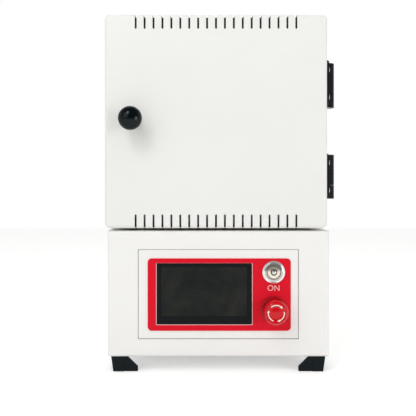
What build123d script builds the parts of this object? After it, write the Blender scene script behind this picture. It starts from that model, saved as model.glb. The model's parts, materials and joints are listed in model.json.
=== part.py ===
from build123d import *
import math
import os

# A small bench-top muffle furnace: an insulated chamber behind a side-hinged door, on a lower
# case that holds the controls.
# Millimetres. +Z is up and the front faces -Y. The origin lies on the bench under the middle of
# the whole outline, which reaches from the left side to the hinges and from the knob to the
# mains switch. Each half is drawn about the middle of its own width and moved there at the end.

# ---------------------------------------------------------------- overall sizes
WIDTH = 250.0
HALF = WIDTH / 2
SHEET = 1.5  # folded steel of both casings
FOOT_HEIGHT = 18.0
CASE_TOP = 160.0  # top of the lower case, which carries the heated upper part
TOP = 403.0
BACK = 166.0  # rear face of both casings
CASE_FRONT = -136.0  # front face of the lower case
BODY_FRONT = -96.0  # front face of the upper casing, behind the door
SIDE_RIM = 12.0  # width of the rims folded in at the front and back of the upper casing
UNDER_RIM = 31.0  # width of the flange folded in round the bottom of the lower case

# Where the middle of each half stands in the common frame.
UPPER_X = -8.0  # upper casing, chamber and door
LOWER_X = -5.3  # lower case and controls
SHIFT_Y = 0.96

# ---------------------------------------------------------------- feet and air slots
FOOT_BOSS = ((122, FOOT_HEIGHT), (106.5, FOOT_HEIGHT), (106.5, 0), (119.5, 0))
FOOT_BUTTRESS = ((108, FOOT_HEIGHT), (103.5, FOOT_HEIGHT), (103.5, 16.8), (91.5, 5), (91.5, 0), (108, 0))
FOOT_DEPTH = 25.0
BUTTRESS_START, BUTTRESS_END = 1.0, 5.5  # its two faces, behind the front of the boss
FOOT_INSET = 5.0  # from the front or rear face of the lower case
SIDE_VENT_ROWS = (62.0, 112.0)
SIDE_VENT_START, SIDE_VENT_PITCH, SIDE_VENT_COUNT = 50.0, 11.0, 9
REAR_VENT_ROWS = (196.0, 366.0)
REAR_VENT_PITCH, REAR_VENT_SIDE_COUNT = 10.0, 8

# ---------------------------------------------------------------- door
DOOR_FRONT = -140.0
DOOR_BACK = -98.0
DOOR_BOTTOM = 163.0
DOOR_SHEET = 1.2
DOOR_MID_Z = (DOOR_BOTTOM + TOP) / 2
CORNER = 5.5  # radius of the corners seen from the front
FRONT_BEND = 4.0  # radius of the bend between door face and door sides
DOOR_FLANGE = 11.5  # width of the rim folded in at the back of the door
SLOT_COUNT = 19
SLOT_PITCH = 10.0
SLOT_WIDTH = 2.2
TOP_SLOT_DROP = 16.5
TOP_SLOT_WRAP = 32.0  # how far a top slot runs back over the top of the door
BOTTOM_SLOT_RISE = 15.5
BOTTOM_SLOT_WRAP = 6.0
PAN_BACK = DOOR_BACK - DOOR_SHEET  # rear face of the inner plate, against the pan's rim
PAN_FRONT = PAN_BACK - DOOR_SHEET
SLAB_THICK, SLAB_SIZE = 24.0, 190.0  # insulation inside the pan
PLUG_SIZE, PLUG_DEPTH, PLUG_TAPER = 97.0, 28.0, 6.0
GASKET_OUT, GASKET_IN, GASKET_THICK = 134.0, 118.0, 4.2
KNOB_X, KNOB_Z = -93.5, 283.5
KNOB_LENGTH = 33.0
KNOB_RADIUS = 13.0
KNOB_FOOT = 9.6
STUD_RADIUS = 3.0
CATCH_X0, CATCH_X1, CATCH_HALF_HEIGHT = -112.0, -98.0, 20.0

# ---------------------------------------------------------------- hinges, on the right side
HINGE_X, HINGE_Y = 133.5, -97.0
HINGE_MIDS = (222.0, 330.0)
HINGE_HEIGHT = 52.0
LEAF_THICK = 5.5
LEAF_START, LEAF_REACH = 8.5, 26.0  # distances of a leaf's two ends from the hinge's axis
KNUCKLE_RADIUS = 7.5
KNUCKLE_ROOT = 10.0  # how far a knuckle's root runs into its leaf
KNUCKLE_END = 16.0  # length of each outer knuckle
KNUCKLE_GAP = 0.3
PIN_RADIUS = 2.5
RUN_FIT = 0.06  # radial clearance of a turning pin

# ---------------------------------------------------------------- chamber
CHAMBER = 100.0  # inside width and height
CHAMBER_DEPTH = 130.0
CHAMBER_Z = 281.0
BOARD = 55.0  # thickness of the fibre boards round the chamber
BOARD_GAP = 1.0  # sheet box round the boards
MOUTH = 104.0  # opening in the front frame
FRAME_BACK = BODY_FRONT + 2 * SHEET  # rear face of the front frame, where the boards start
CHAMBER_BACK = FRAME_BACK + CHAMBER_DEPTH
BOARD_BACK = CHAMBER_BACK + BOARD
BOARD_OUT = CHAMBER / 2 + BOARD
BOARD_BOTTOM = CHAMBER_Z - BOARD_OUT
BOARD_TOP = CHAMBER_Z + BOARD_OUT
WALL_BOTTOM = CHAMBER_Z - CHAMBER / 2
WALL_TOP = CHAMBER_Z + CHAMBER / 2
RUN_COUNT = 6  # heating wire runs on each side wall
RUN_PITCH = 16.0
RUN_ZS = [CHAMBER_Z + RUN_PITCH * (i - (RUN_COUNT - 1) / 2) for i in range(RUN_COUNT)]
COIL_RADIUS = 3.0
COIL_INSET = 3.6  # depth of the coil's centre behind the chamber wall
LEAD_X = CHAMBER / 2 + COIL_INSET
GROOVE_WIDTH = 7.4
GROOVE_DEPTH = COIL_INSET + COIL_RADIUS
LEAD_END = BOARD_BACK + 7.0
RUN_FRONT = FRAME_BACK + 14.0
RUN_REAR = CHAMBER_BACK - 15.0
PROBE_Z = 318.0
PROBE_RADIUS = 3.0

# ---------------------------------------------------------------- controls
PLATE_W, PLATE_H, PLATE_Z = 180.0, 100.0, 88.5
PLATE_SEAM = 0.6  # gap all round between the plate and the case's window
FASCIA_W, FASCIA_H, FASCIA_X, FASCIA_Z = 161.0, 81.4, 1.0, 88.2
FASCIA_FRONT = CASE_FRONT - 1.0
GLASS_W, GLASS_H, GLASS_X, GLASS_Z = 107.4, 69.0, -15.8, 89.1
MODULE_W, MODULE_H = 105.5, 67.2
START_X, START_Z = 62.2, 113.5
STOP_X, STOP_Z = 62.3, 71.8
STOP_SHOULDER = FASCIA_FRONT - 9.5  # where the mushroom head sits on its plunger
BARREL_RADIUS = 10.8  # fits the usual 22 mm panel hole
PANEL_HOLE = 11.1
PLATE_BACK = CASE_FRONT + 2.7
BARREL_END = CASE_FRONT + 24.0

# ---------------------------------------------------------------- rear and lower case
FAN_X, FAN_Z, FAN_SIZE, FAN_DEPTH = -70.0, 90.0, 60.0, 25.0
INLET_X, INLET_Z = 78.0, 60.0
SWITCH_X, SWITCH_Z = 78.0, 104.0
CUTOUT_W, CUTOUT_H = 28.0, 20.0  # of the inlet and of the switch
ROCKER_TILT = 10.0  # degrees to either side
ROCKER_Y = BACK - 1.0
ROCKER_PIN = 1.5
SINK_HEIGHT = 34.0
FLOOR_Z = FOOT_HEIGHT + SHEET  # underside of the base plate
DECK_Z = FLOOR_Z + SHEET  # upper face of the base plate


# ---------------------------------------------------------------- shape helpers
def block(x0, x1, y0, y1, z0, z1):
    """Box between two corners."""
    return Pos((x0 + x1) / 2, (y0 + y1) / 2, (z0 + z1) / 2) * Box(x1 - x0, y1 - y0, z1 - z0)


def rod_y(x, z, radius, y0, y1):
    return Pos(x, (y0 + y1) / 2, z) * Rot(90, 0, 0) * Cylinder(radius, y1 - y0)


def rod_z(x, y, radius, z0, z1):
    return Pos(x, y, (z0 + z1) / 2) * Cylinder(radius, z1 - z0)


def plate_y(sketch, x, z, y0, y1):
    """Sketch as seen from the front, with thickness from y0 to y1."""
    plane = Plane(origin=(x, y1, z), x_dir=(1, 0, 0), z_dir=(0, -1, 0))
    return extrude(plane * sketch, y1 - y0)


def turned_y(x, z, outline):
    """Turned piece: its outline is drawn as radius and y, and spins about an axis along Y."""
    return Pos(x, 0, z) * revolve(make_face(outline), Axis.Y)


def closed(*points):
    """Closed outline of straight runs."""
    return Polyline(*points, close=True)


def crown_arc(radius, edge_y, crown_y):
    """Arc of a ball-shaped crown, from its edge to the middle, with its centre on the axis."""
    rise = edge_y - crown_y
    ball = (radius**2 + rise**2) / (2 * rise)
    half_angle = math.asin(radius / ball) / 2
    middle = (ball * math.sin(half_angle), crown_y + ball * (1 - math.cos(half_angle)))
    return ThreePointArc((radius, edge_y), middle, (0, crown_y))


def front_edges(solid):
    return solid.faces().sort_by(Axis.Y)[0].edges()


def rounded_pan(x0, x1, y0, y1, z0, z1, corner, bend):
    """Block with rounded corners seen from the front, and a bend round its front face."""
    pan = block(x0, x1, y0, y1, z0, z1)
    pan = fillet(pan.edges().filter_by(Axis.Y), corner)
    return fillet(front_edges(pan), bend)


def group(*solids):
    return Part() + list(solids)


def mirrored(solid):
    return mirror(solid, about=Plane.YZ)


# ---------------------------------------------------------------- lower case
def side_vents():
    """Two rows of upright slots towards the rear of each side."""
    slot = Rot(0, 90, 0) * extrude(SlotOverall(34, 3), WIDTH + 10, both=True)
    ys = [SIDE_VENT_START + SIDE_VENT_PITCH * i for i in range(SIDE_VENT_COUNT)]
    return [Pos(0, y, z) * slot for y in ys for z in SIDE_VENT_ROWS]


def lower_case():
    """Folded shell: front, sides and top, with a narrow return flange round the bottom."""
    outer = block(-HALF, HALF, CASE_FRONT, BACK, FOOT_HEIGHT, CASE_TOP)
    outer = fillet(front_edges(outer), 3.0)
    inner = block(-HALF + SHEET, HALF - SHEET, CASE_FRONT + SHEET, BACK + 1, FLOOR_Z, CASE_TOP - SHEET)
    inner = fillet(front_edges(inner), SHEET)
    underside = block(-HALF + UNDER_RIM, HALF - UNDER_RIM, CASE_FRONT + UNDER_RIM, BACK + 1,
                      FOOT_HEIGHT - 1, FLOOR_Z + 1)
    opening = Rectangle(PLATE_W + 2 * PLATE_SEAM, PLATE_H + 2 * PLATE_SEAM)
    window = plate_y(opening, 0, PLATE_Z, CASE_FRONT - 1, CASE_FRONT + SHEET + 1)
    cable_holes = [rod_z(x, 135, 9, CASE_TOP - 5, CASE_TOP + 5) for x in (-60, 60)]
    return outer - inner - underside - window - cable_holes - side_vents()


def base_plate():
    """Bottom cover with two banks of air slots."""
    plate = block(-HALF + SHEET, HALF - SHEET, CASE_FRONT + 2 * SHEET, BACK - SHEET, FLOOR_Z, DECK_Z)
    slot = extrude(SlotOverall(50, 3), 5, both=True)
    banks = [Pos(x, 10 * i - 30, FLOOR_Z) * slot for x in (-45, 45) for i in range(9)]
    return plate - banks


def fan_grille():
    """Upright slots of different lengths that fill a circle."""
    radius = 27.0
    slots = []
    for i in range(-3, 4):
        x = 7.0 * i
        height = 2 * math.sqrt(radius**2 - x**2)
        slots.append(plate_y(Rot(0, 0, 90) * SlotOverall(height, 4), FAN_X + x, FAN_Z, BACK - 5, BACK + 5))
    return slots


def lower_rear_panel():
    panel = block(-HALF + SHEET, HALF - SHEET, BACK - SHEET, BACK, DECK_Z, CASE_TOP - SHEET)
    cutout = Rectangle(CUTOUT_W, CUTOUT_H)
    places = ((INLET_X, INLET_Z), (SWITCH_X, SWITCH_Z))
    cutouts = [plate_y(cutout, x, z, BACK - 5, BACK + 5) for x, z in places]
    return panel - cutouts - fan_grille()


def foot_slab(outline, y0, y1):
    plane = Plane(origin=(0, y1, 0), x_dir=(1, 0, 0), z_dir=(0, -1, 0))
    return extrude(plane * Polygon(*outline, align=None), y1 - y0)


def front_right_foot():
    """Moulded foot: a boss that tapers down, and a thin buttress that slopes inwards."""
    y0 = CASE_FRONT + FOOT_INSET
    boss = foot_slab(FOOT_BOSS, y0, y0 + FOOT_DEPTH)
    boss = fillet(boss.edges().filter_by(lambda edge: edge.bounding_box().size.Z > FOOT_HEIGHT / 2), 1.5)
    return boss + foot_slab(FOOT_BUTTRESS, y0 + BUTTRESS_START, y0 + BUTTRESS_END)


# ---------------------------------------------------------------- upper casing
def casing_wrap():
    """Inverted U of folded sheet, with a rim folded in at the front and at the back."""
    outer = block(-HALF, HALF, BODY_FRONT, BACK, CASE_TOP, TOP)
    outer = fillet(outer.edges().filter_by(Axis.Y).group_by(Axis.Z)[-1], CORNER)
    inner = block(-HALF + SHEET, HALF - SHEET, BODY_FRONT + SHEET, BACK - SHEET, CASE_TOP - 1, TOP - SHEET)
    inner = fillet(inner.edges().filter_by(Axis.Y).group_by(Axis.Z)[-1], CORNER - SHEET)
    through = block(-HALF + SIDE_RIM, HALF - SIDE_RIM, BODY_FRONT - 1, BACK + 1, CASE_TOP - 1, TOP - SIDE_RIM)
    return outer - inner - through


def end_sheet(y0, y1):
    """Flat sheet that fills the wrap's inside."""
    sheet = block(-HALF + SHEET, HALF - SHEET, y0, y1, CASE_TOP, TOP - SHEET)
    return fillet(sheet.edges().filter_by(Axis.Y).group_by(Axis.Z)[-1], CORNER - SHEET)


def front_frame():
    """Stainless face round the chamber mouth."""
    sheet = end_sheet(BODY_FRONT + SHEET, FRAME_BACK)
    return sheet - plate_y(RectangleRounded(MOUTH, MOUTH, 3), 0, CHAMBER_Z, BODY_FRONT, FRAME_BACK + 1)


def rear_panel():
    """Back cover with two rows of upright air slots."""
    sheet = end_sheet(BACK - 2 * SHEET, BACK - SHEET)
    slot = Rot(0, 0, 90) * SlotOverall(36, 3)
    count = REAR_VENT_SIDE_COUNT
    xs = [REAR_VENT_PITCH * i for i in range(-count, count + 1)]
    return sheet - [plate_y(slot, x, z, BACK - 5, BACK) for x in xs for z in REAR_VENT_ROWS]


def support_rails():
    """Two hat-section rails that carry the insulated chamber."""
    wall = 1.5
    height = BOARD_BOTTOM - BOARD_GAP - CASE_TOP
    outline = closed((-18, 0), (-8, 0), (-8, height - wall), (8, height - wall), (8, 0), (18, 0), (18, wall),
                     (8 + wall, wall), (8 + wall, height), (-8 - wall, height), (-8 - wall, wall), (-18, wall))
    plane = Plane(origin=(0, 80, CASE_TOP), x_dir=(1, 0, 0), z_dir=(0, -1, 0))
    rail = extrude(plane * make_face(outline), 160)
    return group(Pos(-75, 0, 0) * rail, Pos(75, 0, 0) * rail)


# ---------------------------------------------------------------- chamber
def inner_shell():
    """Sheet box round the boards, open at the front, pierced at the back for leads and probe."""
    out = BOARD_OUT + BOARD_GAP
    outer = block(-out, out, FRAME_BACK, BOARD_BACK + BOARD_GAP, BOARD_BOTTOM - BOARD_GAP, BOARD_TOP + BOARD_GAP)
    inner = block(-BOARD_OUT, BOARD_OUT, FRAME_BACK - 1, BOARD_BACK, BOARD_BOTTOM, BOARD_TOP)
    depth = (BOARD_BACK - 1, BOARD_BACK + BOARD_GAP + 1)
    holes = [rod_y(x, z, COIL_RADIUS + 1.5, *depth) for x in (-LEAD_X, LEAD_X) for z in (RUN_ZS[0], RUN_ZS[-1])]
    return outer - inner - holes - rod_y(0, PROBE_Z, PROBE_RADIUS + 0.4, *depth)


def groove():
    """Milled track of one side wall: straight runs joined by half turns."""
    depth0, depth1 = CHAMBER / 2 - 1, CHAMBER / 2 + GROOVE_DEPTH
    half = GROOVE_WIDTH / 2
    track = []
    for i, z in enumerate(RUN_ZS):
        rear = BOARD_BACK + 1 if i in (0, RUN_COUNT - 1) else RUN_REAR
        track.append(block(depth0, depth1, RUN_FRONT, rear, z - half, z + half))
    bend = extrude(Circle(RUN_PITCH / 2 + half) - Circle(RUN_PITCH / 2 - half), depth1 - depth0)
    bend = bend - block(0, 50, -50, 50, -50, 50)
    for i in range(RUN_COUNT - 1):
        at_front = i % 2 == 0
        y = RUN_FRONT if at_front else RUN_REAR
        turn = Rot(0, 0, 0) if at_front else Rot(0, 0, 180)
        plane = Plane(origin=(depth0, y, (RUN_ZS[i] + RUN_ZS[i + 1]) / 2), x_dir=(0, 1, 0), z_dir=(1, 0, 0))
        track.append(plane * turn * bend)
    return track


def muffle_right():
    wall = block(CHAMBER / 2, BOARD_OUT, FRAME_BACK, BOARD_BACK, WALL_BOTTOM, WALL_TOP)
    return wall - groove()


def heating_element_right():
    """Coil of resistance wire laid through the groove, drawn as the tube that the coil fills."""
    x = LEAD_X
    radius = RUN_PITCH / 2
    edges = []
    for i, z in enumerate(RUN_ZS):
        rear = LEAD_END if i in (0, RUN_COUNT - 1) else RUN_REAR
        run = [(x, rear, z), (x, RUN_FRONT, z)]
        if i % 2:
            run.reverse()
        edges.append(Line(*run))
        if i < RUN_COUNT - 1:
            y, push = (RUN_FRONT, -radius) if i % 2 == 0 else (RUN_REAR, radius)
            edges.append(ThreePointArc((x, y, z), (x, y + push, z + radius), (x, y, z + RUN_PITCH)))
    section = Plane(origin=(x, LEAD_END, RUN_ZS[0]), z_dir=(0, -1, 0)) * Circle(COIL_RADIUS)
    return sweep(section, path=Wire(edges))


def element_terminals():
    """Ceramic connectors on the four lead ends, seated on the back of the inner shell."""
    seat = BOARD_BACK + BOARD_GAP
    solids = []
    for x in (-LEAD_X, LEAD_X):
        for z in (RUN_ZS[0], RUN_ZS[-1]):
            body = block(x - 7, x + 7, seat, seat + 20, z - 6, z + 6)
            body = fillet(body.edges().filter_by(Axis.Y), 2)
            solids.append(body - rod_y(x, z, COIL_RADIUS + 0.1, seat - 1, LEAD_END))
    return group(*solids)


def thermocouple():
    """Sheathed probe through the rear board, with its terminal head behind the inner shell."""
    head_y = BOARD_BACK + 8
    sheath = rod_y(0, PROBE_Z, PROBE_RADIUS, CHAMBER_BACK - 24, head_y)
    tip = fillet(front_edges(sheath), 2.5)
    head = rod_y(0, PROBE_Z, 11, head_y, head_y + 18) + block(-8, 8, head_y + 3, head_y + 15, PROBE_Z, PROBE_Z + 18)
    return tip + head


def hearth_plate():
    plate = block(-46, 46, DOOR_BACK + PLUG_DEPTH + 2, CHAMBER_BACK - 5, WALL_BOTTOM, WALL_BOTTOM + 4)
    plate = fillet(plate.edges().filter_by(Axis.Z), 4)
    return chamfer(plate.faces().sort_by(Axis.Z)[-1].edges(), 0.8)


# ---------------------------------------------------------------- door
def slot_xs():
    return [SLOT_PITCH * (i - (SLOT_COUNT - 1) / 2) for i in range(SLOT_COUNT)]


def door_slots():
    """Air slots that start on the face and run over the top and bottom bends."""
    half = SLOT_WIDTH / 2
    face = (DOOR_FRONT - 1, DOOR_FRONT + BOTTOM_SLOT_WRAP)
    top_end = TOP - TOP_SLOT_DROP + half
    rear_end = DOOR_FRONT + TOP_SLOT_WRAP - half
    bottom_end = DOOR_BOTTOM + BOTTOM_SLOT_RISE - half
    cuts = []
    for x in slot_xs():
        top = block(x - half, x + half, DOOR_FRONT - 1, rear_end, top_end, TOP + 1)
        cuts.append(top + rod_y(x, top_end, half, *face) + rod_z(x, rear_end, half, TOP - 5, TOP + 1))
        bottom = block(x - half, x + half, *face, DOOR_BOTTOM - 1, bottom_end)
        cuts.append(bottom + rod_y(x, bottom_end, half, *face))
    return cuts


def door_shell():
    """Pan of thin sheet with a rim folded in at the back."""
    gap = DOOR_SHEET
    outer = rounded_pan(-HALF, HALF, DOOR_FRONT, DOOR_BACK, DOOR_BOTTOM, TOP, CORNER, FRONT_BEND)
    cavity = rounded_pan(-HALF + gap, HALF - gap, DOOR_FRONT + gap, DOOR_BACK - gap, DOOR_BOTTOM + gap,
                         TOP - gap, CORNER - gap, FRONT_BEND - gap)
    opening = plate_y(RectangleRounded(WIDTH - 2 * DOOR_FLANGE, TOP - DOOR_BOTTOM - 2 * DOOR_FLANGE, 6),
                      0, DOOR_MID_Z, DOOR_BACK - 5, DOOR_BACK + 1)
    stud_hole = rod_y(KNOB_X, KNOB_Z, STUD_RADIUS + 0.2, DOOR_FRONT - 1, DOOR_FRONT + 5)
    return outer - cavity - opening - stud_hole - door_slots()


def door_inner_plate():
    play = 2 * DOOR_SHEET + 0.4
    sketch = RectangleRounded(WIDTH - play, TOP - DOOR_BOTTOM - play, 4)
    return plate_y(sketch, 0, DOOR_MID_Z, PAN_FRONT, PAN_BACK)


def door_insulation():
    slab = plate_y(Rectangle(SLAB_SIZE, SLAB_SIZE), 0, CHAMBER_Z, PAN_FRONT - SLAB_THICK, PAN_FRONT)
    return chamfer(front_edges(slab), 4)


def door_plug():
    """Tapered fibre block that fills the chamber mouth."""
    plane = Plane(origin=(0, PAN_BACK, CHAMBER_Z), x_dir=(1, 0, 0), z_dir=(0, 1, 0))
    plug = extrude(plane * Rectangle(PLUG_SIZE, PLUG_SIZE), PLUG_DEPTH, taper=PLUG_TAPER)
    return chamfer(plug.edges().filter_by(lambda edge: edge.bounding_box().max.Y > PAN_BACK + 1), 1.5)


def door_gasket():
    """Rope seal round the plug, with a rounded crown."""
    sketch = RectangleRounded(GASKET_OUT, GASKET_OUT, 14) - RectangleRounded(GASKET_IN, GASKET_IN, 6)
    ring = plate_y(sketch, 0, CHAMBER_Z, PAN_BACK, PAN_BACK + GASKET_THICK)
    return fillet(ring.faces().sort_by(Axis.Y)[-1].edges(), 2.5)


def catch_piece(y0, y1):
    piece = block(CATCH_X0, CATCH_X1, y0, y1, KNOB_Z - CATCH_HALF_HEIGHT, KNOB_Z + CATCH_HALF_HEIGHT)
    return fillet(piece.edges().filter_by(Axis.Y), 2)


def catch_strike():
    return catch_piece(PAN_BACK, PAN_BACK + 1)


def catch_magnet():
    face = BODY_FRONT + SHEET
    return catch_piece(face - 3.4, face)


def door_knob():
    """Turned knob: a flared foot, a waist and a domed head."""
    base, crown = DOOR_FRONT, DOOR_FRONT - KNOB_LENGTH
    outline = [
        Line((STUD_RADIUS, base), (KNOB_FOOT, base)),
        Line((KNOB_FOOT, base), (KNOB_FOOT, base - 2)),
        ThreePointArc((KNOB_FOOT, base - 2), (8.6, base - 10), (12.0, base - 19.5)),
        ThreePointArc((12.0, base - 19.5), (KNOB_RADIUS, base - 24), (11.2, base - 28.5)),
        crown_arc(11.2, base - 28.5, crown),
        Line((0, crown), (0, base - 14)),
        Line((0, base - 14), (STUD_RADIUS, base - 14)),
        Line((STUD_RADIUS, base - 14), (STUD_RADIUS, base)),
    ]
    return turned_y(KNOB_X, KNOB_Z, outline)


def knob_stud():
    """Threaded stud with the nut that holds the knob from inside the door."""
    inside = DOOR_FRONT + DOOR_SHEET
    stud = rod_y(KNOB_X, KNOB_Z, STUD_RADIUS, DOOR_FRONT - 14, inside + 8)
    return stud + plate_y(RegularPolygon(5.8, 6), KNOB_X, KNOB_Z, inside, inside + 5)


# ---------------------------------------------------------------- hinges
def leaf_plate(side):
    """Flat part of a leaf; side is +1 towards the casing and -1 towards the door."""
    y0, y1 = sorted((HINGE_Y + side * LEAF_START, HINGE_Y + side * LEAF_REACH))
    return block(HALF, HALF + LEAF_THICK, y0, y1, 0, HINGE_HEIGHT)


def rounded_leaf(side):
    leaf = leaf_plate(side)
    far = leaf.edges().filter_by(Axis.X).sort_by(Axis.Y)
    leaf = fillet(far[-2:] if side > 0 else far[:2], 5)
    outer = leaf.faces().sort_by(Axis.X)[-1]
    return chamfer(outer.edges().filter_by(Axis.Z), 0.8)


def knuckle(z0, z1, side, bore):
    """Barrel with the root that joins it to its leaf."""
    barrel = rod_z(HINGE_X, HINGE_Y, KNUCKLE_RADIUS, z0, z1)
    y0, y1 = sorted((HINGE_Y, HINGE_Y + side * KNUCKLE_ROOT))
    root = block(HALF, HALF + LEAF_THICK, y0, y1, z0, z1)
    return barrel + root - rod_z(HINGE_X, HINGE_Y, bore, z0 - 1, z1 + 1)


def hinge_leaf_casing():
    leaf = rounded_leaf(1)
    for z0, z1 in ((0, KNUCKLE_END), (HINGE_HEIGHT - KNUCKLE_END, HINGE_HEIGHT)):
        leaf += knuckle(z0, z1, 1, PIN_RADIUS)
    return leaf


def hinge_leaf_door():
    z0, z1 = KNUCKLE_END + KNUCKLE_GAP, HINGE_HEIGHT - KNUCKLE_END - KNUCKLE_GAP
    return rounded_leaf(-1) + knuckle(z0, z1, -1, PIN_RADIUS + RUN_FIT)


def hinge_pin():
    pin = rod_z(HINGE_X, HINGE_Y, PIN_RADIUS, 0, HINGE_HEIGHT)
    return chamfer(pin.edges(), 0.4)


# ---------------------------------------------------------------- controls
def control_plate():
    """Pressed plate: its raised field fills the case's window, its flange lies behind the sheet."""
    field = block(-PLATE_W / 2, PLATE_W / 2, CASE_FRONT, PLATE_BACK, PLATE_Z - PLATE_H / 2, PLATE_Z + PLATE_H / 2)
    field = chamfer(front_edges(field), 0.4)
    flange = plate_y(Rectangle(PLATE_W + 20, PLATE_H + 18), 0, PLATE_Z, CASE_FRONT + SHEET, PLATE_BACK)
    return field + flange - control_holes(GLASS_W, GLASS_H)


def control_holes(width, height):
    """Window of the display and the two panel holes."""
    y0, y1 = CASE_FRONT - 5, CASE_FRONT + 8
    window = plate_y(Rectangle(width, height), GLASS_X, GLASS_Z, y0, y1)
    return [window, rod_y(START_X, START_Z, PANEL_HOLE, y0, y1), rod_y(STOP_X, STOP_Z, PANEL_HOLE, y0, y1)]


def fascia():
    """Coloured overlay with rounded corners, stuck on the plate."""
    sheet = plate_y(RectangleRounded(FASCIA_W, FASCIA_H, 4.5), FASCIA_X, FASCIA_Z, FASCIA_FRONT, CASE_FRONT)
    return sheet - control_holes(GLASS_W, GLASS_H)


def display_glass():
    pane = plate_y(Rectangle(GLASS_W, GLASS_H), GLASS_X, GLASS_Z, FASCIA_FRONT - 0.4, CASE_FRONT + 1)
    return chamfer(front_edges(pane), 0.6)


def display_module():
    """Screen unit behind the glass, with its rear housing and plug row."""
    screen = plate_y(Rectangle(MODULE_W, MODULE_H), GLASS_X, GLASS_Z, CASE_FRONT + 1, PLATE_BACK)
    housing = plate_y(RectangleRounded(118, 78, 3), GLASS_X, GLASS_Z, PLATE_BACK, PLATE_BACK + 18)
    hump = plate_y(RectangleRounded(96, 52, 3), GLASS_X, GLASS_Z + 6, PLATE_BACK + 18, PLATE_BACK + 26)
    plugs = plate_y(Rectangle(60, 9), GLASS_X, GLASS_Z - 30, PLATE_BACK + 18, PLATE_BACK + 24)
    return screen + housing + hump + plugs


def start_bezel():
    """Metal push-button housing: bevelled rim and threaded barrel, bored for the cap."""
    face = FASCIA_FRONT
    outline = closed((8.1, face - 2.6), (10.6, face - 2.6), (12.7, face - 1.2), (12.7, face),
                     (BARREL_RADIUS, face), (BARREL_RADIUS, BARREL_END), (0, BARREL_END),
                     (0, BARREL_END - 5), (8.1, BARREL_END - 5))
    return turned_y(START_X, START_Z, outline)


def start_cap():
    """Plunger with a ring groove round its centre dome."""
    face = FASCIA_FRONT - 3.0
    outline = closed((0, face - 0.5), (2.0, face - 0.4), (2.8, face), (2.8, face + 0.5),
                     (3.6, face + 0.5), (3.6, face), (6.9, face), (7.8, face + 0.7),
                     (7.8, BARREL_END - 8.5), (0, BARREL_END - 8.5))
    return turned_y(START_X, START_Z, outline)


def panel_nut(x, z):
    nut = plate_y(RegularPolygon(15.5, 6), x, z, PLATE_BACK, PLATE_BACK + 4)
    return nut - rod_y(x, z, BARREL_RADIUS + 0.1, PLATE_BACK - 1, PLATE_BACK + 5)


def contact_block(x, z):
    """Switch block clipped on the end of a barrel, stepped at its terminals."""
    body = block(x - 10, x + 10, BARREL_END, BARREL_END + 20, z - 14, z + 14)
    y0, y1 = BARREL_END + 12, BARREL_END + 21
    steps = [block(x - 11, x + 11, y0, y1, z + rise - 4, z + rise + 4) for rise in (-11, 11)]
    return body - steps


def estop_collar():
    face = FASCIA_FRONT
    outline = closed((7.1, face - 4), (13.2, face - 4), (14.75, face - 2.6), (14.75, face),
                     (BARREL_RADIUS, face), (BARREL_RADIUS, BARREL_END), (0, BARREL_END),
                     (0, BARREL_END - 8), (7.1, BARREL_END - 8))
    return turned_y(STOP_X, STOP_Z, outline)


def estop_plunger():
    end = BARREL_END - 14
    outline = closed((0, STOP_SHOULDER - 9.5), (5, STOP_SHOULDER - 9.5), (5, STOP_SHOULDER), (7, STOP_SHOULDER),
                     (7, end), (0, end))
    return turned_y(STOP_X, STOP_Z, outline)


def estop_head():
    """Mushroom head: undercut skirt, rounded brim and slightly dished crown."""
    seat = STOP_SHOULDER - 0.05
    skirt, front = FASCIA_FRONT - 8.8, FASCIA_FRONT - 25
    bore = 5 + RUN_FIT
    outline = [
        Polyline((0, STOP_SHOULDER - 9.6), (bore, STOP_SHOULDER - 9.6), (bore, seat), (7.5, seat), (7.5, skirt),
                 (10.5, skirt), (11.2, skirt - 5), (13.75, skirt - 8.5), (13.75, skirt - 11.5)),
        ThreePointArc((13.75, skirt - 11.5), (12.9, skirt - 14.4), (10.6, front - 0.2)),
        Line((10.6, front - 0.2), (6.2, front + 0.9)),
        crown_arc(6.2, front + 0.9, front),
        Line((0, front), (0, STOP_SHOULDER - 9.6)),
    ]
    return turned_y(STOP_X, STOP_Z, outline)


# ---------------------------------------------------------------- rear fittings
def fan_frame():
    """Square fan housing with a motor disc on three arms."""
    y0, y1 = BACK - SHEET - FAN_DEPTH, BACK - SHEET
    frame = plate_y(RectangleRounded(FAN_SIZE, FAN_SIZE, 4), FAN_X, FAN_Z, y0, y1)
    frame -= rod_y(FAN_X, FAN_Z, 28.4, y0 - 1, y1 + 1)
    waist = plate_y(RectangleRounded(FAN_SIZE + 2, FAN_SIZE + 2, 4) - Circle(30), FAN_X, FAN_Z, y0 + 4, y1 - 4)
    corner = FAN_SIZE / 2 - 5
    for sx in (-1, 1):
        for sz in (-1, 1):
            frame -= rod_y(FAN_X + sx * corner, FAN_Z + sz * corner, 2.2, y0 - 1, y1 + 1)
    frame = frame - waist
    frame += rod_y(FAN_X, FAN_Z, 11, y0, y0 + 2.5)
    for i in range(3):
        arm = block(9, 29.2, y0, y0 + 2.5, -2, 2)
        frame += Pos(FAN_X, 0, FAN_Z) * Rot(0, 120 * i + 30, 0) * arm
    return frame - rod_y(FAN_X, FAN_Z, 1.5 + RUN_FIT, y0 - 1, y0 + 3)


def fan_rotor():
    """Hub with seven pitched blades on a short shaft."""
    y0 = BACK - SHEET - FAN_DEPTH
    rotor = rod_y(0, 0, 11, y0 + 3, y0 + 19) + rod_y(0, 0, 1.5, y0, y0 + 4)
    for i in range(7):
        blade = Rot(30, 0, 0) * Box(17, 18, 1.4)
        blade = Pos(18.5, y0 + 11.5, 0) * blade
        rotor += Rot(0, 360 / 7 * i, 0) * blade
    return Pos(FAN_X, 0, FAN_Z) * rotor


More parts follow.
